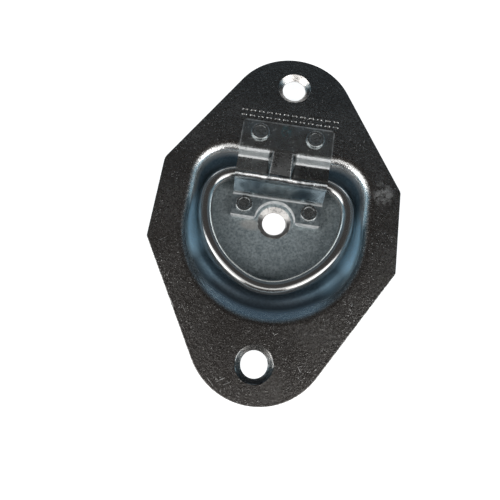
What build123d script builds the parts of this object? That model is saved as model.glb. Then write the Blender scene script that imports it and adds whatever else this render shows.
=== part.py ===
from build123d import *
import math
import os

# Recessed tie-down ring: a drawn sheet-steel pan, a riveted strap and a wire D-ring.
# Frame: origin midway between the two flange screw holes, on the flange's underside
# (the face that lies on the deck). +Z points out of the deck, +Y from the origin
# towards the strap, +X across the plate. Millimetres.

os.makedirs("parts", exist_ok=True)

# ---------------------------------------------------------------- driving dimensions
t = 1.9                    # sheet thickness of pan and strap (14 gauge)
length = 120.65            # overall length, 4-3/4 in
lobe_r = 22.2              # end lobe radius
lobe_y = length / 2 - lobe_r
side_ang = 31.2            # angle of the long sides' normals from the X axis
half_w = 40.45             # half width, where the side corners are cut off
corner_radii = {(-1, 1): 4.5, (1, 1): 2.0, (-1, -1): 1.2, (1, -1): 1.0}   # side corners
edge_break = 0.25          # broken sheared edges
hole_pitch = 96.84         # flange screw holes, 3-13/16 in
hole_r = 4.15              # screw hole, clears a 5/16 in screw
csk_r = 5.85               # countersink radius at the surface, flange holes
csk_rc = 6.15              # and at the centre hole
csk_land = 0.5             # plain wall left under the countersink

depth = 9.5                # flange top to recess floor
rim_x = 29.10              # sharp rim line, half width
rim_by = -6.70             # centre of the rim's lower arc
rim_ty = 21.9              # sharp rim line, top edge
rim_cr = 11.6              # rim corner radius
flo_x = 26.85              # sharp floor line, half width
flo_by = 5.95              # centre of the floor's lower arc
flo_ty = 18.44             # floor line, top edge
flo_cr = 9.5               # floor corner radius
rim_fillet = 3.4           # bend at the rim, top surface
flo_fillet = 3.0           # bend at the floor, top surface

wire_r = 2.38              # ring wire 3/16 in
bar_y = 15.25              # ring bar centre
bar_z = -3.85
ring_len = 39.4            # bar centre to the bow's wire centre
ring_rise = 1.65           # the bow lies this much above the bar
bow_r = 16.5               # bow, side and shoulder bends on the wire's centre line
bow_ang = 22.0
side_r = 29.3
shoulder_r = 10.5
strap_hw = 15.875          # strap half width, 1-1/4 in
shelf_z = 0.9              # top surface of the strap's shelf
rivet_head_r = 3.25
rivet_top_r = 2.85
rivet_head_h = 1.05
shank_r = 1.98             # 5/32 in rivet
tail_r = 3.0
tail_h = 1.0
fit_gap = 0.02             # rivet shank in its holes
rib_y0 = 21.6              # pressed rib: upper and lower ends, half widths at top and base
rib_y1 = 13.4
rib_t0 = 3.4
rib_b0 = 4.8
rib_t1 = 3.7
rib_b1 = 4.6
rib_x = -0.65              # the rib sits a little left of the strap's middle
rib_soft = 0.7             # rounding along the rib's top edges
notch_r = 6.8              # notch round the centre hole
notch_y = 0.3
up_rivet = (9.5, 27.7)
lo_rivet = (11.4, 4.6)
dash_y = 35.9              # plain double row of stamped dashes above the strap
dash_pitch = 2.95
dash_rows = 2.1
dash_count = 12
dash_len = 1.9
dash_w = 0.8
dash_depth = 0.26
dash_draft = 40.0

flange_top = t
floor_top = t - depth
floor_under = floor_top - t


# ---------------------------------------------------------------- plan outlines
def d_outline(hw, by, ty, cr):
    # a D: half circle of radius hw below, straight sides, rounded upper corners
    a = math.sqrt(0.5)
    ThreePointArc((-hw, by), (-hw * a, by - hw * a), (0, by - hw))
    ThreePointArc((0, by - hw), (hw * a, by - hw * a), (hw, by))
    Line((hw, by), (hw, ty - cr))
    ThreePointArc((hw, ty - cr), (hw - cr + cr * a, ty - cr + cr * a), (hw - cr, ty))
    Line((hw - cr, ty), (-hw + cr, ty))
    ThreePointArc((-hw + cr, ty), (-hw + cr - cr * a, ty - cr + cr * a), (-hw, ty - cr))
    Line((-hw, ty - cr), (-hw, by))


# offsets of the underside outlines for a parallel wall of thickness t
off_side = t * math.tan(math.radians(78.0 / 2))
off_top = t * math.tan(math.radians(70.0 / 2))
off_bot = t * math.tan(math.radians(33.0 / 2))

# inner (upper) surface of the recess
with BuildPart() as cavity:
    with BuildSketch(Plane.XY.offset(flange_top)) as cav_rim:
        with BuildLine():
            d_outline(rim_x, rim_by, rim_ty, rim_cr)
        make_face()
    with BuildSketch(Plane.XY.offset(floor_top)) as cav_floor:
        with BuildLine():
            d_outline(flo_x, flo_by, flo_ty, flo_cr)
        make_face()
    loft(ruled=True)
    fillet(cavity.faces().sort_by(Axis.Z)[0].edges(), flo_fillet)

# outer (under) surface of the recess
with BuildPart() as belly:
    with BuildSketch(Plane.XY) as bel_rim:
        with BuildLine():
            hw = rim_x + off_side
            d_outline(hw, (rim_by - rim_x - off_bot) + hw, rim_ty + off_top, rim_cr + off_side)
        make_face()
    with BuildSketch(Plane.XY.offset(floor_under)) as bel_floor:
        with BuildLine():
            hw = flo_x + off_side
            d_outline(hw, (flo_by - flo_x - off_bot) + hw, flo_ty + off_top, flo_cr + off_top)
        make_face()
    loft(ruled=True)
    fillet(belly.faces().sort_by(Axis.Z)[0].edges(), flo_fillet + t)

# ---------------------------------------------------------------- pan
def corner(xs, ys):
    # where a long side meets the cut-off side, in the given quadrant
    return (xs * half_w, ys * corner_y)


nx, ny = math.cos(math.radians(side_ang)), math.sin(math.radians(side_ang))
tan_x, tan_y = lobe_r * nx, lobe_y + lobe_r * ny
corner_y = tan_y - (half_w - tan_x) / ny * nx

with BuildPart() as pan:
    with BuildSketch(Plane.XY) as plate_sk:
        with BuildLine():
            ThreePointArc((-tan_x, tan_y), (0, length / 2), (tan_x, tan_y))
            Line((tan_x, tan_y), corner(1, 1))
            Line(corner(1, 1), corner(1, -1))
            Line(corner(1, -1), (tan_x, -tan_y))
            ThreePointArc((tan_x, -tan_y), (0, -length / 2), (-tan_x, -tan_y))
            Line((-tan_x, -tan_y), corner(-1, -1))
            Line(corner(-1, -1), corner(-1, 1))
            Line(corner(-1, 1), (-tan_x, tan_y))
        make_face()
        for (xs, ys), rr in corner_radii.items():
            v = plate_sk.vertices().sort_by_distance((xs * half_w, ys * corner_y, 0))[0]
            fillet(v, rr)
    extrude(amount=t)
    add(belly.part)
    # the bend under the rim
    junction = [
        e for e in pan.edges()
        if abs(e.center().Z) < 1e-3
        and abs(e.bounding_box().max.X) < rim_x + 3 and abs(e.bounding_box().min.X) < rim_x + 3
        and e.bounding_box().min.Y > rim_by - rim_x - 3 and e.bounding_box().max.Y < rim_ty + 3
    ]
    fillet(junction, rim_fillet - t)
    add(cavity.part, mode=Mode.SUBTRACT)
    rim_edges = [
        e for e in pan.edges()
        if abs(e.center().Z - flange_top) < 1e-3
        and abs(e.bounding_box().max.X) < rim_x + 1 and abs(e.bounding_box().min.X) < rim_x + 1
        and e.bounding_box().min.Y > rim_by - rim_x - 1 and e.bounding_box().max.Y < rim_ty + 1
    ]
    fillet(rim_edges, rim_fillet)
    # broken outer edges of the flange
    outer = [
        e for e in pan.edges()
        if (abs(e.center().Z - flange_top) < 1e-3 or abs(e.center().Z) < 1e-3)
        and math.hypot(e.center().X, e.center().Y) > 34 and e.length > 3
        and abs(e.bounding_box().max.Z - e.bounding_box().min.Z) < 1e-3
    ]
    outer = [e for e in outer if max(abs((e @ 0.5).X) / (half_w - 1), 0) > 0.94
             or abs((e @ 0.5).X) * nx + abs((e @ 0.5).Y) * ny > lobe_y * ny + lobe_r - 0.5
             or abs((e @ 0.5).Y) > length / 2 - 0.5]
    fillet(outer, edge_break)
    # three countersunk screw holes
    for hy, top, cr in (
        (hole_pitch / 2, flange_top, csk_r), (-hole_pitch / 2, flange_top, csk_r), (0, floor_top, csk_rc)
    ):
        with Locations((0, hy, top - t / 2)):
            Cylinder(hole_r, t + 2, mode=Mode.SUBTRACT)
        cone_h = t - csk_land
        slope = (cr - hole_r) / cone_h
        with Locations((0, hy, top - cone_h / 2 + 0.25)):
            Cone(hole_r, cr + 0.5 * slope, cone_h + 0.5, mode=Mode.SUBTRACT)
    # rivet holes with their countersinks in the underside
    for (rx, ry), top in ((up_rivet, flange_top), (lo_rivet, floor_top)):
        with Locations((rx, ry, top - t / 2), (-rx, ry, top - t / 2)):
            Cylinder(shank_r + fit_gap, t + 2, mode=Mode.SUBTRACT)
        with Locations((rx, ry, top - t + tail_h / 2), (-rx, ry, top - t + tail_h / 2)):
            Cone(tail_r + fit_gap, shank_r + fit_gap, tail_h, mode=Mode.SUBTRACT)
    # stamped dashes, with drafted walls
    with BuildSketch(Plane.XY.offset(flange_top)) as dash_sk:
        with Locations((0, dash_y)):
            with GridLocations(dash_pitch, dash_rows, dash_count, 2):
                SlotOverall(dash_len, dash_w)
    extrude(amount=-dash_depth, taper=dash_draft, mode=Mode.SUBTRACT)
pan.part.label = "pan"
print("pan", pan.part.volume, pan.part.is_valid, len(pan.part.solids()))
export_step(pan.part, "parts/pan.step")


# ---------------------------------------------------------------- strap
# side profile as (y, z) points along the upper surface, from the flange to the floor
up = [
    (32.3, flange_top + t),
    (21.1, flange_top + t),
    (19.4, shelf_z),
    (12.8, shelf_z),
    (8.3, floor_top + t),
    (0.0, floor_top + t),
]


def offset_points(pts, d):
    # parallel polyline at distance d below the given one
    lines = []
    for (y0, z0), (y1, z1) in zip(pts[:-1], pts[1:]):
        dy, dz = y1 - y0, z1 - z0
        n = math.hypot(dy, dz)
        ny_, nz_ = -dz / n, dy / n          # the normal that points below the sheet
        lines.append(((y0 + ny_ * d, z0 + nz_ * d), (dy, dz)))
    res = [lines[0][0]]
    for (p, u), (q, v) in zip(lines[:-1], lines[1:]):
        det = u[0] * -v[1] + v[0] * u[1]
        s = ((q[0] - p[0]) * -v[1] + v[0] * (q[1] - p[1])) / det
        res.append((p[0] + u[0] * s, p[1] + u[1] * s))
    p, u = lines[-1]
    res.append((p[0] + u[0], p[1] + u[1]))
    return res


down = offset_points(up, t)
up_r = [0, 2.3, 0.6, 4.4, 0.8, 0]
down_r = [0, 0.4, 2.5, 2.5, 2.7, 0]

with BuildPart() as strap:
    with BuildSketch(Plane.YZ) as strap_side:
        with BuildLine():
            Polyline(*up, *reversed(down), close=True)
        make_face()
        for (y, z), rr in list(zip(up, up_r)) + list(zip(down, down_r)):
            if rr:
                # a sketch works in its own plane: its X and Y are the part's Y and Z here
                v = strap_side.vertices().sort_by_distance((y, z, 0))[0]
                fillet(v, rr)
    extrude(amount=strap_hw, both=True)
    # pressed rib that carries the flange level down to the crest
    with BuildSketch(Plane.XZ.offset(-rib_y0)) as rib_a:
        with BuildLine():
            Polyline((rib_x - rib_b0, 1.3), (rib_x + rib_b0, 1.3), (rib_x + rib_t0, up[1][1]), (rib_x - rib_t0, up[1][1]), close=True)
        make_face()
    with BuildSketch(Plane.XZ.offset(-rib_y1)) as rib_b:
        with BuildLine():
            Polyline((rib_x - rib_b1, -0.4), (rib_x + rib_b1, -0.4), (rib_x + rib_t1, shelf_z + 0.02), (rib_x - rib_t1, shelf_z + 0.02), close=True)
        make_face()
    loft(ruled=True)
    # soften the rib's long top edges
    rib_top = [
        e for e in strap.edges()
        if rib_y1 < e.center().Y < rib_y0 and 2.0 < abs(e.center().X - rib_x) < 6.0
        and e.center().Z > shelf_z + 0.2 and e.bounding_box().size.Y > 4
    ]
    fillet(rib_top, rib_soft)
    # hollow under the rib
    with BuildSketch(Plane.XZ.offset(-rib_y0 - 0.8)) as rib_c:
        with BuildLine():
            Polyline((rib_x - rib_b0 + 0.6, -1.6), (rib_x + rib_b0 - 0.6, -1.6), (rib_x + rib_t0 - 1.0, flange_top), (rib_x - rib_t0 + 1.0, flange_top), close=True)
        make_face()
    with BuildSketch(Plane.XZ.offset(-rib_y1 - 0.8)) as rib_d:
        with BuildLine():
            Polyline((rib_x - rib_b1 + 0.6, -1.6), (rib_x + rib_b1 - 0.6, -1.6), (rib_x + rib_t1 - 1.0, shelf_z - t + 0.02), (rib_x - rib_t1 + 1.0, shelf_z - t + 0.02), close=True)
        make_face()
    loft(ruled=True, mode=Mode.SUBTRACT)
    # plan shape with the notch round the centre hole
    with BuildSketch(Plane.XY.offset(floor_top - 1)) as strap_plan:
        with BuildLine():
            Polyline((-strap_hw, 0), (-strap_hw, 32.3), (strap_hw, 32.3), (strap_hw, 0), close=True)
        make_face()
        for vx, vy, vr in ((-strap_hw, 0, 1.0), (strap_hw, 0, 1.0), (-strap_hw, 32.3, 1.6), (strap_hw, 32.3, 1.6)):
            fillet(strap_plan.vertices().sort_by_distance((vx, vy, 0))[0], vr)
        with Locations((0, notch_y)):
            Circle(notch_r, mode=Mode.SUBTRACT)
        nxx = math.sqrt(notch_r ** 2 - notch_y ** 2)
        for vx in (-nxx, nxx):
            fillet(strap_plan.vertices().sort_by_distance((vx, 0, 0))[0], 2.0)
    extrude(amount=20, mode=Mode.INTERSECT)
    # rivet holes
    for (rx, ry), top in ((up_rivet, flange_top), (lo_rivet, floor_top)):
        with Locations((rx, ry, top + t / 2), (-rx, ry, top + t / 2)):
            Cylinder(shank_r + fit_gap, t + 2, mode=Mode.SUBTRACT)
strap.part.label = "strap"
print("strap", strap.part.volume, strap.part.is_valid, len(strap.part.solids()))
export_step(strap.part, "parts/strap.step")


# ---------------------------------------------------------------- ring
tilt = math.asin(ring_rise / ring_len)
ring_plane = Plane(origin=(0, bar_y, bar_z), x_dir=(1, 0, 0), z_dir=(0, math.sin(tilt), math.cos(tilt)))
cb = -ring_len + bow_r                      # centre of the bow arc
al = math.radians(bow_ang)
csx = (bow_r - side_r) * math.sin(al)       # centre of the side arc
csy = cb - (bow_r - side_r) * math.cos(al)
cosb = (csy + shoulder_r) / (side_r - shoulder_r)
be = math.acos(cosb)
ccx = csx + (side_r - shoulder_r) * math.sin(be)
ccy = csy - (side_r - shoulder_r) * math.cos(be)


def on_bow(a):
    return (bow_r * math.sin(a), cb - bow_r * math.cos(a))


def on_side(a, s=1):
    return (s * (csx + side_r * math.sin(a)), csy - side_r * math.cos(a))


def on_shoulder(a, s=1):
    return (s * (ccx + shoulder_r * math.sin(a)), ccy - shoulder_r * math.cos(a))


print("ring bar half", ccx, "shoulder y", ccy, "widest", csx + side_r)
with BuildPart() as d_ring:
    with BuildLine(ring_plane) as ring_path:
        Line((0, 0), (ccx, 0))
        ThreePointArc((ccx, 0), on_shoulder((be + math.pi) / 2), on_shoulder(be))
        ThreePointArc(on_side(be), on_side((be + al) / 2), on_side(al))
        ThreePointArc(on_side(al), on_bow(0), on_side(al, -1))
        ThreePointArc(on_side(al, -1), on_side((be + al) / 2, -1), on_side(be, -1))
        ThreePointArc(on_shoulder(be, -1), on_shoulder((be + math.pi) / 2, -1), (-ccx, 0))
        Line((-ccx, 0), (0, 0))
    with BuildSketch(Plane(origin=(0, bar_y, bar_z), x_dir=(0, 1, 0), z_dir=(1, 0, 0))) as wire_sk:
        Circle(wire_r)
    sweep(path=ring_path.wires()[0])
d_ring.part.label = "d_ring"
print("ring", d_ring.part.volume, d_ring.part.is_valid, len(d_ring.part.solids()), d_ring.part.bounding_box())
export_step(d_ring.part, "parts/d_ring.step")


# ---------------------------------------------------------------- rivets
def rivet_profile(seat, under):
    # half profile: flush tail, shank, head standing on the strap, with a shallow dish
    Polyline(
        (0, under), (tail_r, under), (shank_r, under + tail_h), (shank_r, seat),
        (rivet_head_r, seat), (rivet_head_r, seat + 0.35), (rivet_top_r + 0.18, seat + rivet_head_h - 0.12),
        (rivet_top_r - 0.05, seat + rivet_head_h), (2.1, seat + rivet_head_h),
        (1.9, seat + rivet_head_h - 0.08), (0, seat + rivet_head_h - 0.08), close=True,
    )


def upright(at, sx):
    # a vertical plane through the rivet's own axis
    return Plane(origin=(sx * at[0], at[1], 0), x_dir=(1, 0, 0), z_dir=(0, -1, 0))


with BuildPart() as rivet_upper_left:
    with BuildSketch(upright(up_rivet, -1)) as rul_sk:
        with BuildLine():
            rivet_profile(flange_top + t, 0.0)
        make_face()
    revolve(axis=Axis((-up_rivet[0], up_rivet[1], 0), (0, 0, 1)))
rivet_upper_left.part.label = "rivet_upper_left"
export_step(rivet_upper_left.part, "parts/rivet_upper_left.step")

with BuildPart() as rivet_upper_right:
    with BuildSketch(upright(up_rivet, 1)) as rur_sk:
        with BuildLine():
            rivet_profile(flange_top + t, 0.0)
        make_face()
    revolve(axis=Axis((up_rivet[0], up_rivet[1], 0), (0, 0, 1)))
rivet_upper_right.part.label = "rivet_upper_right"
export_step(rivet_upper_right.part, "parts/rivet_upper_right.step")

with BuildPart() as rivet_lower_left:
    with BuildSketch(upright(lo_rivet, -1)) as rll_sk:
        with BuildLine():
            rivet_profile(floor_top + t, floor_under)
        make_face()
    revolve(axis=Axis((-lo_rivet[0], lo_rivet[1], 0), (0, 0, 1)))
rivet_lower_left.part.label = "rivet_lower_left"
export_step(rivet_lower_left.part, "parts/rivet_lower_left.step")

with BuildPart() as rivet_lower_right:
    with BuildSketch(upright(lo_rivet, 1)) as rlr_sk:
        with BuildLine():
            rivet_profile(floor_top + t, floor_under)
        make_face()
    revolve(axis=Axis((lo_rivet[0], lo_rivet[1], 0), (0, 0, 1)))
rivet_lower_right.part.label = "rivet_lower_right"
export_step(rivet_lower_right.part, "parts/rivet_lower_right.step")
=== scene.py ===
import bpy
import math
from mathutils import Matrix, Vector


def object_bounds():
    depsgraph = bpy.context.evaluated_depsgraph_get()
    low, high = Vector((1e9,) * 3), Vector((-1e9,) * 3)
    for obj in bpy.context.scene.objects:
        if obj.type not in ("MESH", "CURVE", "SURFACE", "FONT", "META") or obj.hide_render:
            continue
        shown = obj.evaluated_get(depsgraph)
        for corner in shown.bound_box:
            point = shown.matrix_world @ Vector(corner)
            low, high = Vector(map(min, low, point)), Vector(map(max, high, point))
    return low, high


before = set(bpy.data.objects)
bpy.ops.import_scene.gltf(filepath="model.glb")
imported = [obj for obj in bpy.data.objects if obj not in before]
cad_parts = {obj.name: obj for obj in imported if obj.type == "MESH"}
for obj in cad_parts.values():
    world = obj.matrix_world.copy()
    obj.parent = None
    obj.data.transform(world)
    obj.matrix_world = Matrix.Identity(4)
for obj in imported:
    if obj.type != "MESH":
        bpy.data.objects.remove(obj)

cad_lo, cad_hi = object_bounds()
scene = bpy.context.scene
scene.view_settings.view_transform = "Standard"
scene.view_settings.look = "None"


# ------------------------------------------------------------------ node helpers
class Net:
    """A few short calls over one node tree."""

    def __init__(self, tree):
        self.t = tree
        self.t.nodes.clear()

    def add(self, kind, **kw):
        n = self.t.nodes.new(kind)
        for k, v in kw.items():
            setattr(n, k, v)
        return n

    def link(self, a, b):
        self.t.links.new(a, b)

    def put(self, sock, v):
        if isinstance(v, bpy.types.NodeSocket):
            self.link(v, sock)
        elif v is not None:
            sock.default_value = v

    def math(self, op, a, b=None, c=None, clamp=False):
        n = self.add("ShaderNodeMath", operation=op, use_clamp=clamp)
        self.put(n.inputs[0], a)
        if b is not None:
            self.put(n.inputs[1], b)
        if c is not None:
            self.put(n.inputs[2], c)
        return n.outputs[0]

    def ramp(self, v, lo, hi, out_lo=0.0, out_hi=1.0, smooth=True):
        n = self.add("ShaderNodeMapRange", clamp=True)
        n.interpolation_type = "SMOOTHSTEP" if smooth else "LINEAR"
        self.put(n.inputs["Value"], v)
        self.put(n.inputs["From Min"], lo)
        self.put(n.inputs["From Max"], hi)
        self.put(n.inputs["To Min"], out_lo)
        self.put(n.inputs["To Max"], out_hi)
        return n.outputs["Result"]

    def mix(self, f, a, b):
        n = self.add("ShaderNodeMix", data_type="RGBA")
        self.put(n.inputs["Factor"], f)
        self.put(n.inputs[6], a)
        self.put(n.inputs[7], b)
        return n.outputs[2]

    def mixf(self, f, a, b):
        n = self.add("ShaderNodeMix", data_type="FLOAT")
        self.put(n.inputs["Factor"], f)
        self.put(n.inputs[2], a)
        self.put(n.inputs[3], b)
        return n.outputs[0]

    def xyz(self, v):
        n = self.add("ShaderNodeSeparateXYZ")
        self.link(v, n.inputs[0])
        return n.outputs

    def mapped(self, v, loc=(0, 0, 0), rot=(0, 0, 0), scale=(1, 1, 1)):
        n = self.add("ShaderNodeMapping")
        self.link(v, n.inputs["Vector"])
        n.inputs["Location"].default_value = loc
        n.inputs["Rotation"].default_value = rot
        n.inputs["Scale"].default_value = scale
        return n.outputs[0]

    def noise(self, v, scale, detail=2.0, rough=0.5, distort=0.0):
        n = self.add("ShaderNodeTexNoise")
        self.link(v, n.inputs["Vector"])
        n.inputs["Scale"].default_value = scale
        n.inputs["Detail"].default_value = detail
        n.inputs["Roughness"].default_value = rough
        n.inputs["Distortion"].default_value = distort
        return n.outputs[0]

    def voronoi(self, v, scale, feature="F1", out="Distance", rand=1.0):
        n = self.add("ShaderNodeTexVoronoi", feature=feature)
        self.link(v, n.inputs["Vector"])
        n.inputs["Scale"].default_value = scale
        n.inputs["Randomness"].default_value = rand
        return n.outputs[out]


def shell(name, base):
    """A new metal material: (net, principled, object coordinates)."""
    m = bpy.data.materials.new(name)
    m.use_nodes = True
    m.diffuse_color = base
    k = Net(m.node_tree)
    out = k.add("ShaderNodeOutputMaterial")
    p = k.add("ShaderNodeBsdfPrincipled")
    k.link(p.outputs[0], out.inputs[0])
    p.inputs["Base Color"].default_value = base
    p.inputs["Metallic"].default_value = 1.0
    co = k.add("ShaderNodeTexCoord").outputs["Object"]
    return m, k, p, co


def give(obj, mat):
    obj.data.materials.clear()
    obj.data.materials.append(mat)


def grain(k, v, size, depth, normal=None, detail=3.0, rough=0.6):
    """Fine raised grain of the given size and depth in metres, as a bump."""
    h = k.noise(v, 1.0 / size, detail, rough)
    n = k.add("ShaderNodeBump")
    n.inputs["Strength"].default_value = 1.0
    n.inputs["Distance"].default_value = depth
    k.link(h, n.inputs["Height"])
    if normal is not None:
        k.link(normal, n.inputs["Normal"])
    return n.outputs[0]


def bump(k, h, depth, normal=None):
    n = k.add("ShaderNodeBump")
    n.inputs["Strength"].default_value = 1.0
    n.inputs["Distance"].default_value = depth
    k.link(h, n.inputs["Height"])
    if normal is not None:
        k.link(normal, n.inputs["Normal"])
    return n.outputs[0]


def specks(k, v, size, share):
    """Sparse round flecks: 1 inside a fleck. share is how many cells carry one."""
    d = k.voronoi(v, 1.0 / size, out="Distance")
    c = k.voronoi(v, 1.0 / size, out="Color")
    pick = k.ramp(k.xyz(c)[0], 1.0 - share - 0.01, 1.0 - share + 0.01)
    return k.math("MULTIPLY", pick, k.ramp(d, 0.16, 0.34, 1.0, 0.0))


def scratches(k, v, turn, width, run, share, offset):
    """Thin broken lines in one direction: 1 on a line."""
    w = k.mapped(v, rot=(0, 0, math.radians(turn)))
    w = k.mapped(w, loc=offset, scale=(1.0 / run, 1.0 / width, 1.0 / run))
    n = k.noise(w, 1.0, 1.0, 0.5)
    return k.ramp(n, share, share + 0.04)


def spot(k, x, y, cx, cy, rx, ry):
    """A soft elliptical mask round a point of the plate, in millimetres."""
    dx = k.math("DIVIDE", k.math("SUBTRACT", x, cx * 1e-3), rx * 1e-3)
    dy = k.math("DIVIDE", k.math("SUBTRACT", y, cy * 1e-3), ry * 1e-3)
    r = k.math("SQRT", k.math("ADD", k.math("MULTIPLY", dx, dx), k.math("MULTIPLY", dy, dy)))
    return k.ramp(r, 0.45, 1.0, 1.0, 0.0)


def pan_zinc():
    m, k, p, co = shell("zinc_pan", (0.58, 0.61, 0.63, 1))
    normal = k.add("ShaderNodeTexCoord").outputs["Normal"]
    x, y, z = k.xyz(co)
    top = k.ramp(z, 0.00090, 0.00182)             # 1 on the flange
    low = k.ramp(z, -0.00750, -0.0064, 1.0, 0.0)  # 1 on the recess floor
    # painted reflection: masks for the left and right walls and two lower flanks of the recess, where the blue is
    # painted brighter
    side = k.math("MAXIMUM", spot(k, x, y, -30.5, -9.0, 11.0, 17.5), spot(k, x, y, 30.5, -8.5, 11.0, 18.5))
    flank = k.math("MAXIMUM", k.math("MULTIPLY", spot(k, x, y, -24.0, -23.0, 9.0, 9.0), 0.22),
                   k.math("MULTIPLY", spot(k, x, y, 25.0, -21.0, 9.0, 10.0), 0.46))
    side = k.math("MAXIMUM", side, flank)
    outer = k.ramp(k.xyz(normal)[2], -0.10, 0.10, 1.0, 0.0)
    # 1 on the rim bend and above
    bend = k.mixf(side, k.ramp(z, -0.0030, 0.0006), k.ramp(z, -0.0012, 0.0011))

    cloud = k.noise(co, 70.0, 3.0, 0.55)
    patchy = k.noise(k.mapped(co, loc=(3.1, 1.7, 0.4)), 330.0, 4.0, 0.65)
    mottle = k.noise(k.mapped(co, loc=(0.3, 7.7, 0.4)), 1250.0, 3.0, 0.75)
    pits = specks(k, k.mapped(co, loc=(0.031, 0.017, 0.0)), 0.00070, 0.10)
    fleck = specks(k, co, 0.00062, 0.16)
    fleck2 = specks(k, k.mapped(co, loc=(0.013, 0.021, 0.0)), 0.00040, 0.16)
    lines = None
    for i, (turn, width, run, share) in enumerate((
        (52.0, 0.00034, 0.0050, 0.73), (-28.0, 0.00030, 0.0036, 0.74), (104.0, 0.00034, 0.0030, 0.75))):
        l = scratches(k, co, turn, width, run, share, (0.7 * i + 0.2, 1.3 * i, 0.0))
        lines = l if lines is None else k.math("MAXIMUM", lines, l)
    worn = k.ramp(k.noise(k.mapped(co, loc=(9.0, 4.0, 1.0)), 110.0, 2.0, 0.5), 0.56, 0.72, 0.0, 0.5)
    for cx, cy, rx, ry in ((29.0, -26.0, 5.0, 5.0), (-33.0, -28.0, 4.0, 6.0), (5.0, -40.5, 6.0, 3.0),
                           (16.0, -49.0, 6.0, 6.0), (-10.0, -55.0, 7.0, 3.0), (-26.0, -34.0, 5.0, 4.0)):
        worn = k.math("MAXIMUM", worn, spot(k, x, y, cx, cy, rx, ry))
    lines = k.math("MULTIPLY", k.math("MULTIPLY", lines, worn), 0.55)
    smudge = k.math("MULTIPLY", spot(k, x, y, 34.5, 12.5, 4.2, 5.6),
                    k.ramp(k.noise(k.mapped(co, loc=(2.0, 6.0, 0.0)), 420.0, 3.0, 0.6), 0.38, 0.60))
    smudge = k.math("MULTIPLY", smudge, 0.36)
    uneven = k.ramp(k.noise(k.mapped(co, loc=(5.0, 2.0, 0.0)), 240.0, 2.0, 0.6), 0.42, 0.68, 0.05, 0.55)
    # painted glints: bright flecks standing in for the sparkle of the spangle
    glint_dots = k.math("MULTIPLY", k.math("MAXIMUM", fleck, k.math("MULTIPLY", fleck2, 0.8)), uneven)
    wear_and_highlights = k.math("MAXIMUM", lines, k.math("MAXIMUM", smudge, glint_dots))
    wear_and_highlights = k.math("MULTIPLY", wear_and_highlights, k.mixf(k.ramp(y, -0.012, -0.004), k.ramp(z, 0.0014, 0.00185), k.ramp(z, 0.0004, 0.0015)))

    # colour: warm grey zinc on the flange, blue in the drawn recess from a light zinc tint and painted reflection,
    # dull on the floor
    flange = k.mix(cloud, (0.52, 0.50, 0.47, 1), (0.68, 0.665, 0.64, 1))
    flange = k.mix(k.ramp(patchy, 0.35, 0.65), flange, (0.62, 0.61, 0.595, 1))
    sand = k.noise(k.mapped(co, loc=(7.0, 3.0, 0.0)), 2300.0, 2.0, 0.75)
    flange = k.mix(k.ramp(sand, 0.34, 0.50, 0.80, 0.0), flange, (0.13, 0.115, 0.105, 1))
    flange = k.mix(k.ramp(sand, 0.52, 0.66, 0.0, 1.0), flange, (1.0, 0.99, 0.97, 1))
    # painted shade: the flange darker towards its lower end and towards its upper end
    flange = k.mix(k.ramp(y, -0.020, -0.052, 0.0, 0.52), flange, (0.20, 0.175, 0.16, 1))
    flange = k.mix(k.ramp(y, 0.034, 0.048, 0.0, 0.50), flange, (0.20, 0.195, 0.19, 1))
    # painted shade: the front wall of the recess is darkened through this mask
    scoop = spot(k, x, y, -2.0, -28.5, 24.0, 8.0)
    # painted highlight: a light blue band along the front lip of the recess
    lip = k.math("MULTIPLY", spot(k, x, y, 0.0, -31.0, 30.0, 12.0), k.ramp(z, -0.0012, 0.0003))
    # painted reflection: bright blue on the side walls, dark blue on the rest of the wall
    wall = k.mix(side, (0.12, 0.18, 0.24, 1), (0.49, 0.79, 1.0, 1))
    wall = k.mix(k.ramp(mottle, 0.3, 0.7, 0.0, 0.35), wall, (0.34, 0.52, 0.62, 1))
    wall = k.mix(k.math("MULTIPLY", scoop, 0.50), wall, (0.11, 0.12, 0.135, 1))
    wall = k.mix(k.math("MULTIPLY", lip, 0.85), wall, (0.62, 0.82, 0.94, 1))
    # painted highlight: white on the rim bend at the upper corners; painted shade: near black on the bend lower down
    rim_light_and_shade = k.mix(k.ramp(y, -0.002, 0.006), (0.09, 0.10, 0.105, 1), (1.0, 1.0, 0.99, 1))
    rim_light_and_shade = k.mix(lip, rim_light_and_shade, (0.56, 0.72, 0.82, 1))
    wall = k.mix(bend, wall, rim_light_and_shade)
    # the outside of the drawn recess is plain zinc, like the underside of the flange
    back = k.mix(k.ramp(patchy, 0.30, 0.70), (0.24, 0.26, 0.27, 1), (0.38, 0.40, 0.41, 1))
    dull = k.mix(k.ramp(mottle, 0.34, 0.66), (0.24, 0.285, 0.30, 1), (0.55, 0.615, 0.63, 1))
    dull = k.mix(k.ramp(patchy, 0.25, 0.75), k.mix(0.35, dull, (0.25, 0.30, 0.325, 1)), dull)
    dull = k.mix(k.math("MULTIPLY", pits, 0.7), dull, (0.08, 0.095, 0.10, 1))
    hair = scratches(k, co, 12.0, 0.00030, 0.0060, 0.735, (4.1, 0.6, 0.0))
    dull = k.mix(k.math("MULTIPLY", hair, 0.35), dull, (0.95, 0.97, 0.98, 1))
    stain = k.math("MULTIPLY", spot(k, x, y, -8.0, -2.0, 5.0, 2.6), 0.5)
    dull = k.mix(stain, dull, (0.70, 0.66, 0.61, 1))
    # painted shade: the foot of the recess wall darkened next to the floor
    wall_foot_shade = k.math("MULTIPLY", k.ramp(z, -0.0076, -0.0070), k.ramp(z, -0.0058, -0.0044, 1.0, 0.0))
    wall = k.mix(k.math("MULTIPLY", wall_foot_shade, 0.6), wall, (0.16, 0.20, 0.24, 1))
    col = k.mix(low, k.mix(top, wall, flange), dull)
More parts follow.
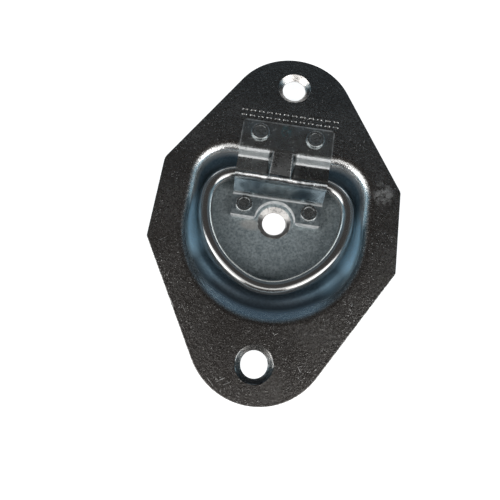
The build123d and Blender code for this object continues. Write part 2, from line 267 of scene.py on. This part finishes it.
    # countersinks: painted highlight on the upper, forward-facing side, painted shade below, thin painted highlights
    # at the edges
    cone = None
    for cy, bright in ((0.04842, 0.95), (0.0, 0.85), (-0.04842, 0.30)):
        ey = k.math("SUBTRACT", y, cy)
        r = k.math("SQRT", k.math("ADD", k.math("MULTIPLY", x, x), k.math("MULTIPLY", ey, ey)))
        inside = k.ramp(r, 0.00585, 0.00600, 1.0, 0.0)
        shade = k.ramp(ey, 0.0004, 0.0030, 0.12, bright)
        hole_edge_highlight = k.math("MAXIMUM", k.ramp(r, 0.0045, 0.0048, 1.0, 0.0), k.ramp(r, 0.00545, 0.0057))
        shade = k.math("MAXIMUM", shade, k.math("MULTIPLY", hole_edge_highlight, k.ramp(patchy, 0.42, 0.62, 0.12, 0.6)))
        shade = k.math("MULTIPLY", shade, k.ramp(mottle, 0.34, 0.48, 0.45, 1.0))
        tone = k.add("ShaderNodeCombineColor")
        for i, f in enumerate((1.0, 0.96, 0.92)):
            k.put(tone.inputs[i], k.math("MULTIPLY", shade, f))
        col = k.mix(inside, col, tone.outputs[0])
        cone = inside if cone is None else k.math("MAXIMUM", cone, inside)
    col = k.mix(outer, col, back)
    wear_and_highlights = k.math("MULTIPLY", wear_and_highlights, k.math("SUBTRACT", 1.0, k.math("MAXIMUM", cone, outer)))
    # scratches and a smudge, plus the painted glint flecks, whitened in the base colour
    col = k.mix(k.math("MULTIPLY", wear_and_highlights, 0.8), col, (0.90, 0.90, 0.89, 1))
    k.put(p.inputs["Base Color"], col)
    metal = k.mixf(low, k.mixf(bend, k.mixf(side, 0.80, 0.56), 1.0), 0.50)
    metal = k.mixf(outer, metal, 0.90)
    k.put(p.inputs["Metallic"], k.mixf(wear_and_highlights, metal, 0.55))

    r_top = k.mixf(cloud, 0.22, 0.31)
    r_wall = k.mixf(bend, 0.36, k.mixf(cloud, 0.22, 0.30))
    r_low = k.mixf(patchy, 0.42, 0.60)
    rough = k.mixf(low, k.mixf(top, r_wall, r_top), r_low)
    rough = k.mixf(outer, rough, k.mixf(patchy, 0.30, 0.48))
    rough = k.mixf(wear_and_highlights, rough, 0.62)
    k.put(p.inputs["Roughness"], rough)

    n1 = k.noise(co, 2400.0, 2.0, 0.6)
    n2 = k.noise(co, 1000.0, 2.0, 0.5)
    height = k.math("MULTIPLY", k.math("ADD", n1, k.math("MULTIPLY", n2, 0.8)),
                    k.math("ADD", k.math("ADD", k.ramp(z, -0.0008, 0.0014), k.math(
                        "MULTIPLY", k.ramp(z, -0.0004, 0.0006), k.ramp(z, 0.0016, 0.00188, 0.5, 0.0))),
                           k.math("ADD", k.math("MULTIPLY", low, 0.55), 0.10)))
    height = k.math("ADD", height, k.math("MULTIPLY", wear_and_highlights, 0.6))
    k.put(p.inputs["Normal"], bump(k, height, 0.000062))
    return m


def strap_zinc():
    m, k, p, co = shell("zinc_strap", (0.58, 0.61, 0.62, 1))
    x, y, z = k.xyz(co)
    ax = k.math("ABSOLUTE", x)
    # painted highlight: the joggle between the flange level and the shelf is whitened
    band = k.math("MULTIPLY", k.ramp(y, 0.0188, 0.0194), k.ramp(y, 0.0212, 0.0217, 1.0, 0.0))
    rx = k.math("ABSOLUTE", k.math("SUBTRACT", x, -0.00065))
    joggle = k.math("MULTIPLY", band, k.ramp(rx, 0.0042, 0.0050))
    rib = k.math("MULTIPLY", k.math("MULTIPLY", k.ramp(y, 0.0126, 0.0138), k.ramp(y, 0.0216, 0.0224, 1.0, 0.0)),
                 k.ramp(rx, 0.0042, 0.0050, 1.0, 0.0))
    face = k.math("MULTIPLY", k.ramp(z, -0.0054, -0.0046), k.ramp(z, -0.0010, 0.0002, 1.0, 0.0))
    crest = k.math("MULTIPLY", k.ramp(z, -0.0010, 0.0004), k.ramp(y, 0.0134, 0.0142, 1.0, 0.0))
    shelf = k.math("MULTIPLY", k.ramp(y, 0.0130, 0.0140), k.ramp(y, 0.0186, 0.0194, 1.0, 0.0))
    foot = k.ramp(z, -0.0057, -0.0053, 1.0, 0.0)   # the lower flange, down in the recess
    cloud = k.noise(co, 120.0, 3.0, 0.55)
    patchy = k.noise(k.mapped(co, loc=(1.0, 5.0, 2.0)), 420.0, 4.0, 0.6)
    mottle = k.noise(k.mapped(co, loc=(0.3, 7.7, 0.4)), 620.0, 3.0, 0.7)
    fleck = specks(k, co, 0.00055, 0.20)
    # painted highlight along the edge of the notch and the lower edge
    dx = k.math("MULTIPLY", x, x)
    dy = k.math("SUBTRACT", y, 0.0003)
    r = k.math("SQRT", k.math("ADD", dx, k.math("MULTIPLY", dy, dy)))
    edge = k.math("MAXIMUM", k.ramp(r, 0.00700, 0.00735, 1.0, 0.0), k.ramp(y, 0.00035, 0.00070, 1.0, 0.0))
    edge = k.math("MULTIPLY", k.math("MULTIPLY", edge, foot), k.ramp(patchy, 0.25, 0.6, 0.6, 1.0))
    # painted highlight: a bright line along the lower bend of the strap
    bend_highlight = k.math("MULTIPLY", foot, k.math("MULTIPLY", k.ramp(y, 0.0076, 0.0079), k.ramp(y, 0.0084, 0.0087, 1.0, 0.0)))
    edge = k.math("MAXIMUM", edge, k.math("MULTIPLY", bend_highlight, 0.6))
    # painted highlight: the upper and side outlines of the strap
    outline_highlight = k.math("MAXIMUM", k.ramp(y, 0.0316, 0.0320), k.ramp(ax, 0.0153, 0.0157))
    outline_highlight = k.math("MULTIPLY", k.math("MULTIPLY", outline_highlight, k.ramp(z, 0.0030, 0.0034)), k.ramp(patchy, 0.3, 0.6, 0.1, 0.45))
    # painted highlight: two bright lines along the joggle, greyer between them
    mid = k.math("MULTIPLY", k.ramp(y, 0.0194, 0.0199), k.ramp(y, 0.0205, 0.0210, 1.0, 0.0))
    joggle_highlight = k.math("MULTIPLY", k.ramp(mottle, 0.26, 0.46), k.math("SUBTRACT", 1.0, k.math("MULTIPLY", mid, 0.72)))
    # painted glints from the flecks, plus the painted joggle highlight
    wear_and_highlights = k.math("MAXIMUM", k.math("MULTIPLY", fleck, k.ramp(patchy, 0.35, 0.65, 0.15, 0.9)), k.math("MULTIPLY", joggle, joggle_highlight))
    wear_and_highlights = k.math("MULTIPLY", wear_and_highlights, k.math("SUBTRACT", 1.0, k.math("MAXIMUM", face, crest)))
    wear_and_highlights = k.math("MULTIPLY", wear_and_highlights, k.math("SUBTRACT", 1.0, k.math("MULTIPLY", rib, 0.8)))
    wear_and_highlights = k.math("MAXIMUM", wear_and_highlights, k.math("MAXIMUM", edge, outline_highlight))
    col = k.mix(cloud, (0.52, 0.55, 0.55, 1), (0.72, 0.75, 0.75, 1))
    stain = k.math("MULTIPLY", spot(k, x, y, -0.6, 29.6, 2.4, 3.4), k.ramp(patchy, 0.42, 0.62, 0.0, 0.8))
    col = k.mix(stain, col, (0.50, 0.90, 1.0, 1))
    # painted shade: the rib darkened
    col = k.mix(k.math("MULTIPLY", rib, 0.9), col, (0.14, 0.14, 0.14, 1))
    # painted shade: the right half of the shelf darkened
    col = k.mix(k.math("MULTIPLY", k.ramp(x, 0.003, 0.007), k.math("MULTIPLY", k.ramp(y, 0.0124, 0.0136), k.ramp(
        y, 0.0186, 0.0192, 0.5, 0.0))), col, (0.15, 0.15, 0.15, 1))
    # painted reflection: the steep face tinted blue, pale in the middle and darker to the sides
    col = k.mix(face, col, k.mix(k.ramp(ax, 0.0020, 0.0085), (0.80, 0.90, 0.92, 1), (0.33, 0.41, 0.46, 1)))
    # painted highlight: a broken white line along the crest
    crest_highlight = k.ramp(k.noise(k.mapped(co, loc=(4.0, 0.0, 0.0)), 330.0, 1.0, 0.5), 0.35, 0.62)
    col = k.mix(crest, col, k.mix(crest_highlight, (0.48, 0.50, 0.51, 1), (1.0, 1.0, 1.0, 1)))
    dull = k.mix(k.ramp(mottle, 0.30, 0.70), (0.165, 0.195, 0.21, 1), (0.40, 0.455, 0.475, 1))
    col = k.mix(foot, col, dull)
    # painted glints and highlights whitened into the base colour
    col = k.mix(k.math("MULTIPLY", wear_and_highlights, 0.95), col, (1.0, 1.0, 0.99, 1))
    k.put(p.inputs["Base Color"], col)
    rough = k.mixf(face, k.mixf(patchy, 0.20, 0.36), 0.17)
    rough = k.mixf(foot, k.mixf(crest, rough, 0.20), 0.42)
    rough = k.mixf(wear_and_highlights, rough, 0.50)
    k.put(p.inputs["Roughness"], rough)
    # the painted highlights on the joggle and the lower edges are made non-metal so they read white
    k.put(p.inputs["Metallic"], k.mixf(wear_and_highlights, k.mixf(foot, k.mixf(shelf, 0.98, k.mixf(k.ramp(x, -0.004, 0.004), 0.955, 1.0)), 0.62), k.mixf(k.math("MAXIMUM", edge, joggle), 0.6, 0.0)))
    wave = k.noise(k.mapped(co, loc=(0.2, 0.1, 0.0), scale=(1.0, 0.5, 0.5)), 170.0, 1.0, 0.4)
    wave = k.math("MULTIPLY", wave, k.mixf(crest, 1.0, 1.7))
    n1 = k.noise(co, 1900.0, 2.0, 0.6)
    fine = k.math("MULTIPLY", n1, k.math("ADD", k.math("SUBTRACT", 1.05, face), k.math("MULTIPLY", joggle, 2.6)))
    wave = k.math("MULTIPLY", wave, k.math("SUBTRACT", 1.0, k.math("MULTIPLY", foot, 0.8)))
    k.put(p.inputs["Normal"], bump(k, wave, 0.00080, bump(k, fine, 0.000065)))
    return m


def ring_zinc():
    m, k, p, co = shell("zinc_ring", (0.55, 0.54, 0.52, 1))
    cloud = k.noise(co, 160.0, 3.0, 0.55)
    streak = k.noise(k.mapped(co, scale=(1.0, 1.0, 6.0)), 700.0, 3.0, 0.6)
    col = k.mix(cloud, (0.45, 0.44, 0.42, 1), (0.60, 0.60, 0.60, 1))
    k.put(p.inputs["Base Color"], col)
    p.inputs["Metallic"].default_value = 0.88
    rough = k.mixf(streak, 0.08, 0.20)
    k.put(p.inputs["Roughness"], rough)
    k.put(p.inputs["Normal"], bump(k, streak, 0.000012))
    return m


def rivet_zinc():
    m, k, p, co = shell("zinc_rivet", (0.55, 0.57, 0.57, 1))
    p.inputs["Metallic"].default_value = 0.90
    cloud = k.noise(co, 300.0, 3.0, 0.6)
    fleck = specks(k, co, 0.00048, 0.22)
    fine = k.noise(co, 1300.0, 2.0, 0.7)
    cloud = k.math("MULTIPLY", cloud, k.ramp(fine, 0.30, 0.70))
    col = k.mix(cloud, (0.28, 0.30, 0.30, 1), (0.86, 0.88, 0.88, 1))
    # painted glints: flecks lightened in the base colour
    col = k.mix(k.math("MULTIPLY", fleck, 0.5), col, (0.85, 0.85, 0.85, 1))
    k.put(p.inputs["Base Color"], col)
    rough = k.mixf(k.math("MULTIPLY", fleck, 0.6), k.mixf(cloud, 0.24, 0.34), 0.58)
    k.put(p.inputs["Roughness"], rough)
    k.put(p.inputs["Normal"], grain(k, co, 0.00045, 0.000060))
    return m


give(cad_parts["pan"], pan_zinc())
give(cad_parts["strap"], strap_zinc())
give(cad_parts["d_ring"], ring_zinc())
rivet_material = rivet_zinc()
for node in ("rivet_upper_left", "rivet_upper_right", "rivet_lower_left", "rivet_lower_right"):
    give(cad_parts[node], rivet_material)

# ------------------------------------------------------------------ camera
cam_data = bpy.data.cameras.new("camera")
cam = bpy.data.objects.new("camera", cam_data)
scene.collection.objects.link(cam)
cam_data.sensor_width = 36.0
cam_data.lens = 28.8
cam_data.clip_start = 0.005
cam_data.clip_end = 10.0
turn = Matrix(((0.987954, -0.153084, 0.022654), (0.153764, 0.954574, -0.255237), (0.017448, 0.255646, 0.966613)))
cam.matrix_world = Matrix.Translation((-0.003714, -0.046471, 0.126107)) @ turn.to_4x4()
scene.camera = cam

# ------------------------------------------------------------------ floor
bpy.ops.mesh.primitive_plane_add(size=4.0, location=(0, 0, cad_lo.z - 0.0002))
floor = bpy.context.object
floor.name = "studio_floor"
fm = bpy.data.materials.new("studio_floor")
fm.use_nodes = True
k = Net(fm.node_tree)
out = k.add("ShaderNodeOutputMaterial")
p = k.add("ShaderNodeBsdfPrincipled")
p.inputs["Base Color"].default_value = (0.86, 0.86, 0.86, 1)
p.inputs["Roughness"].default_value = 0.9
p.inputs["Emission Color"].default_value = (1, 1, 1, 1)
p.inputs["Emission Strength"].default_value = 0.78
k.link(p.outputs[0], out.inputs[0])
floor.data.materials.append(fm)

# ------------------------------------------------------------------ light
# A studio seen from the part: two soft boxes low in front, a weak overhead fill in front
# of the camera, dim bluish walls, and dark above and behind. Azimuth 0 is +X, 270 is
# towards the front (-Y); tilt is measured from straight up. Degrees.
world = bpy.data.worlds.new("studio")
scene.world = world
world.use_nodes = True
k = Net(world.node_tree)
out = k.add("ShaderNodeOutputWorld")
way = k.add("ShaderNodeTexCoord").outputs["Generated"]
wx, wy, wz = k.xyz(way)
tilt = k.math("MULTIPLY", k.math("ARCCOSINE", wz), 180.0 / math.pi)
flat = k.math("MAXIMUM", k.math("SQRT", k.math("ADD", k.math("MULTIPLY", wx, wx), k.math("MULTIPLY", wy, wy))), 1e-4)


def soft_patch(az, az_half, az_soft, t0, t1, t_soft):
    c, s = math.cos(math.radians(az)), math.sin(math.radians(az))
    along = k.math("DIVIDE", k.math("ADD", k.math("MULTIPLY", wx, c), k.math("MULTIPLY", wy, s)), flat)
    off = k.math("MULTIPLY", k.math("ARCCOSINE", k.math("MINIMUM", k.math("MAXIMUM", along, -1.0), 1.0)), 180.0 / math.pi)
    side = k.ramp(off, az_half - az_soft, az_half + az_soft, 1.0, 0.0)
    rise = k.ramp(tilt, t0 - t_soft, t0 + t_soft)
    fall = k.ramp(tilt, t1 - t_soft, t1 + t_soft, 1.0, 0.0)
    return k.math("MULTIPLY", side, k.math("MULTIPLY", rise, fall))


PATCHES = [
    # azimuth, half width, softness, tilt from, to, softness, colour, strength
    (210, 26, 8, 44, 70, 4, (1.0, 1.0, 1.0), 2.9),      # soft box, front left
    (330, 26, 8, 42, 68, 4, (1.0, 1.0, 1.0), 2.8),      # soft box, front right
    (270, 84, 10, 24, 44, 5, (0.99, 1.0, 1.0), 1.15),   # overhead fill, in front
    (0, 34, 12, 62, 92, 8, (0.42, 0.84, 1.08), 0.34),   # right wall
    (180, 34, 12, 62, 92, 8, (0.42, 0.84, 1.08), 0.34),  # left wall
    (90, 66, 14, 60, 92, 8, (0.60, 0.90, 1.20), 0.085),  # blue wall behind
    (90, 66, 14, 44, 58, 4, (0.65, 0.95, 1.15), 0.12),  # its brighter upper edge
    (270, 40, 12, 78, 92, 4, (0.7, 0.92, 1.05), 0.10),  # front wall
]
total = None
for az, ah, asf, t0, t1, ts, col, power in PATCHES:
    v = k.add("ShaderNodeVectorMath", operation="SCALE")
    v.inputs[0].default_value = tuple(c * power for c in col)
    k.put(v.inputs["Scale"], soft_patch(az, ah, asf, t0, t1, ts))
    if total is None:
        total = v.outputs[0]
    else:
        add = k.add("ShaderNodeVectorMath", operation="ADD")
        k.link(total, add.inputs[0])
        k.link(v.outputs[0], add.inputs[1])
        total = add.outputs[0]
add = k.add("ShaderNodeVectorMath", operation="ADD")
k.link(total, add.inputs[0])
add.inputs[1].default_value = (0.018, 0.014, 0.012)
lit = k.add("ShaderNodeBackground")
k.link(add.outputs[0], lit.inputs["Color"])
backdrop = k.add("ShaderNodeBackground")
backdrop.inputs["Color"].default_value = (1.0, 1.0, 1.0, 1)
seen = k.add("ShaderNodeMixShader")
k.link(k.add("ShaderNodeLightPath").outputs["Is Camera Ray"], seen.inputs[0])
k.link(lit.outputs[0], seen.inputs[1])
k.link(backdrop.outputs[0], seen.inputs[2])
k.link(seen.outputs[0], out.inputs[0])
